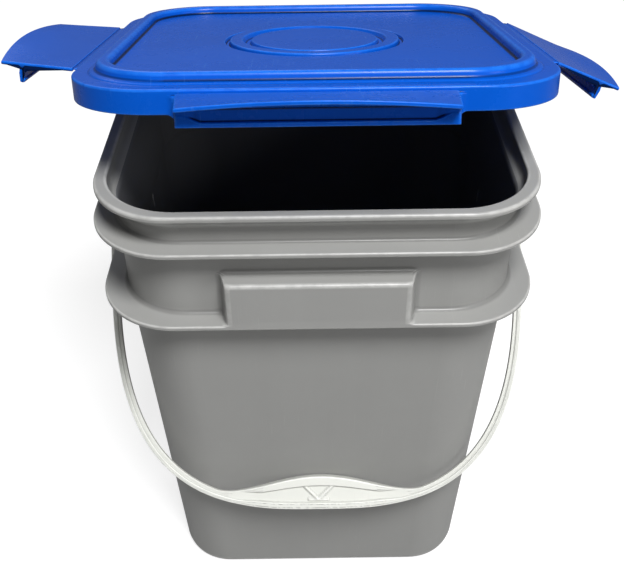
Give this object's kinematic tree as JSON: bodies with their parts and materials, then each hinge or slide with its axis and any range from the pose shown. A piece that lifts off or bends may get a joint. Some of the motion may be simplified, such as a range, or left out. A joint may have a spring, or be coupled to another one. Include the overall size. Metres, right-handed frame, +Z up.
{
  "type": "wash bucket",
  "caption": "Square tapered wash bucket with a drop handle, side grips and a press-fit lid standing ajar with its latches open.",
  "frame": {"origin": "centre of the pail's flat underside", "axes": "+Z up, -Y is the front, where the handle hangs and the lid is raised; +X is the right side seen from the front"},
  "size_m": [0.3916, 0.3805, 0.4607],
  "materials": {
    "pail_plastic": "grey moulded polyethylene with a soft satin skin, darker inside",
    "handle_plastic": "off-white moulded polypropylene, satin",
    "lid_plastic": "bright blue moulded polypropylene with a soft gloss",
    "gasket_rubber": "dark foamed rubber"
  },
  "bodies": {
    "pail": {"pail": "pail_plastic"},
    "handle": {"drop_handle": "handle_plastic"},
    "lid": {"lid": "lid_plastic", "lid_gasket": "gasket_rubber", "hinge_web_front": "lid_plastic", "hinge_web_right": "lid_plastic", "hinge_web_rear": "lid_plastic", "hinge_web_left": "lid_plastic"},
    "latch_front": {"latch_front": "lid_plastic"},
    "latch_right": {"latch_right": "lid_plastic"},
    "latch_rear": {"latch_rear": "lid_plastic"},
    "latch_left": {"latch_left": "lid_plastic"}
  },
  "joints": [
    {"name": "lid_swing", "type": "hinge", "parent": "pail", "child": "lid", "pos_m": [0, 0.1597, 0.3111], "axis": [-1, 0, 0], "range_deg": [-13.2, 85]},
    {"name": "handle_swing", "type": "hinge", "parent": "pail", "child": "handle", "pos_m": [0, 0, 0.276], "axis": [-1, 0, 0], "range_deg": [0, 67]},
    {"name": "latch_front_hinge", "type": "hinge", "parent": "lid", "child": "latch_front", "pos_m": [0, -0.12484, 0.441], "axis": [-1, 0, 0], "range_deg": [-90, 16]},
    {"name": "latch_right_hinge", "type": "hinge", "parent": "lid", "child": "latch_right", "pos_m": [0.147, 0.01827, 0.40739], "axis": [0, -0.9735, 0.2287], "range_deg": [-63, 43]},
    {"name": "latch_rear_hinge", "type": "hinge", "parent": "lid", "child": "latch_rear", "pos_m": [0, 0.16138, 0.37378], "axis": [1, 0, 0], "range_deg": [-74, 32]},
    {"name": "latch_left_hinge", "type": "hinge", "parent": "lid", "child": "latch_left", "pos_m": [-0.147, 0.01827, 0.40739], "axis": [0, 0.9735, -0.2287], "range_deg": [-91, 15]}
  ]
}
